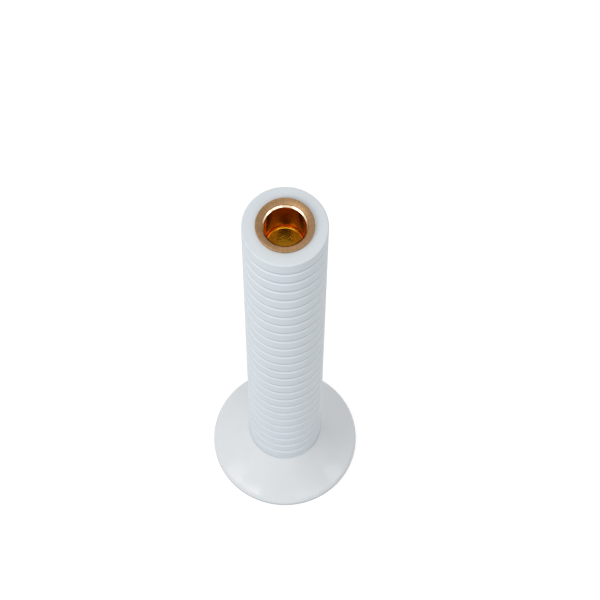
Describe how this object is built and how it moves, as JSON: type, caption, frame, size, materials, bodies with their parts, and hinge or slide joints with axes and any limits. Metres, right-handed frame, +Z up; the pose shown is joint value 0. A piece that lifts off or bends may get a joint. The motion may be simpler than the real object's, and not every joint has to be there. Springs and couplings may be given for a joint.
{
  "type": "taper candle holder",
  "caption": "Tall round taper candle holder: a ringed, white-lacquered column on a flared foot, with a brass candle cup hanging by its flange in the flat top.",
  "frame": {"origin": "on the tabletop, under the middle of the foot", "axes": "+Z up along the column; the holder is round about Z, so X and Y are free"},
  "size_m": [0.093, 0.093, 0.3351],
  "materials": {
    "lacquer": "white satin lacquer on turned wood",
    "brass": "brushed flange, polished bore",
    "zinc_steel": "zinc plated",
    "felt": "pressed felt"
  },
  "bodies": {
    "holder": {"foot": "lacquer", "column": "lacquer", "threaded_insert": "zinc_steel", "foot_bolt": "zinc_steel", "washer": "zinc_steel", "felt_pad": "felt"},
    "candle_cup": {"candle_cup": "brass"}
  },
  "joints": [
    {"name": "cup_lift", "type": "slide", "parent": "holder", "child": "candle_cup", "axis": [0, 0, 1], "range_m": [0, 0.03]}
  ]
}
